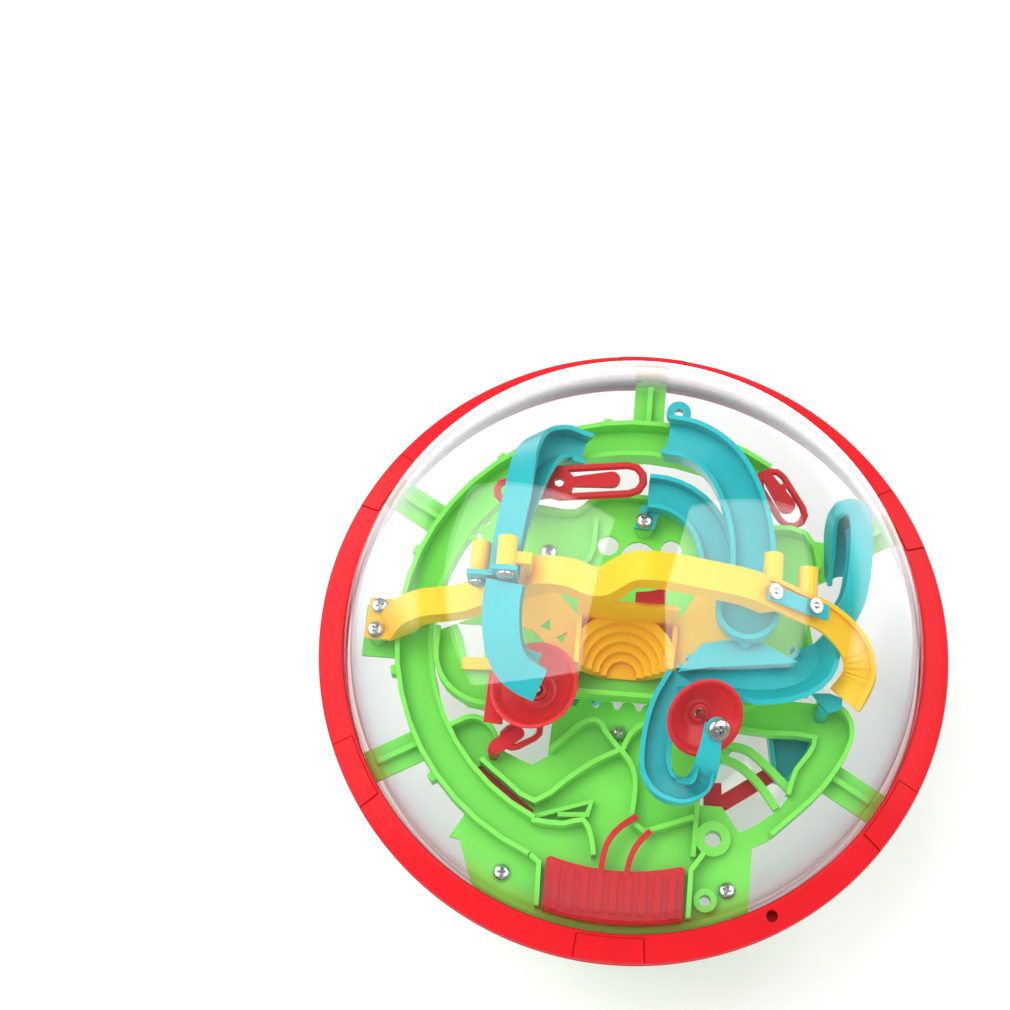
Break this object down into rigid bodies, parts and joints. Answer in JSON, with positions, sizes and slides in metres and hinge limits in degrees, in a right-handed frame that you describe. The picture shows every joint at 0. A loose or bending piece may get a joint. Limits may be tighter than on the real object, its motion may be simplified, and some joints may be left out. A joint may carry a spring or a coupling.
{
  "type": "3d maze ball puzzle",
  "caption": "Clear ball with a red equator ring around a multi-level marble maze of green boards, teal and yellow rails and red cups.",
  "frame": {"origin": "centre of the ball, in the split plane of the equator ring", "axes": "+Z is the axis of the ring, towards the dome with the rails; -Y is the side with the red start block"},
  "size_m": [0.19, 0.19, 0.174],
  "materials": {
    "red_plastic": "gloss moulded plastic",
    "deep_red_plastic": "gloss moulded plastic",
    "clear_plastic": "polished clear plastic",
    "green_plastic": "satin moulded plastic",
    "yellow_plastic": "satin moulded plastic",
    "teal_plastic": "satin moulded plastic",
    "bright_steel": "bright plated steel"
  },
  "bodies": {
    "ball": {"ring_upper": "red_plastic", "ring_lower": "red_plastic", "cup_bracket": "red_plastic", "lower_cup": "red_plastic", "start_block": "deep_red_plastic", "loop_back": "deep_red_plastic", "loop_side": "deep_red_plastic", "loop_front": "deep_red_plastic", "slot_bar": "deep_red_plastic", "fork_bar": "deep_red_plastic", "edge_bar": "deep_red_plastic", "gate": "deep_red_plastic", "dome_upper": "clear_plastic", "dome_lower": "clear_plastic", "maze_board": "green_plastic", "centre_tray": "green_plastic", "lower_tray": "green_plastic", "bridge": "yellow_plastic", "stepped_funnel": "yellow_plastic", "lower_bridge": "yellow_plastic", "rail_left": "teal_plastic", "rail_right": "teal_plastic", "rail_inner": "teal_plastic", "rail_arch": "teal_plastic", "catch_box": "teal_plastic", "lower_rail": "teal_plastic", "clamp_right": "teal_plastic", "foot_right": "teal_plastic", "screw_board_left": "bright_steel", "screw_board_right": "bright_steel", "screw_board_middle": "bright_steel", "screw_tray": "bright_steel", "screw_inner_rail": "bright_steel", "screw_bracket_back": "bright_steel", "screw_bracket_front": "bright_steel", "screw_clamp_left_1": "bright_steel", "screw_clamp_left_2": "bright_steel", "screw_clamp_right_1": "bright_steel", "screw_clamp_right_2": "bright_steel", "screw_cup_right": "bright_steel", "screw_cup_left": "bright_steel", "screw_ring_1": "bright_steel", "screw_ring_2": "bright_steel", "screw_ring_3": "bright_steel", "screw_ring_4": "bright_steel", "screw_ring_5": "bright_steel", "screw_ring_6": "bright_steel"},
    "marble": {"marble": "bright_steel"},
    "left_cup": {"cup_left": "red_plastic"},
    "right_cup": {"cup_right": "red_plastic"}
  },
  "joints": [
    {"name": "marble_travel", "type": "hinge", "parent": "ball", "child": "marble", "pos_m": [0, 0, 0], "axis": [0, 0, 1], "range_deg": [-108, 70]},
    {"name": "left_cup_spin", "type": "hinge", "parent": "ball", "child": "left_cup", "pos_m": [-0.0256, -0.0216, 0.02], "axis": [-0.2394, 0.0798, 0.9676], "continuous": true},
    {"name": "right_cup_spin", "type": "hinge", "parent": "ball", "child": "right_cup", "pos_m": [0.0196, -0.0252, 0.0298], "axis": [0.3593, -0.4991, 0.7885], "continuous": true}
  ]
}
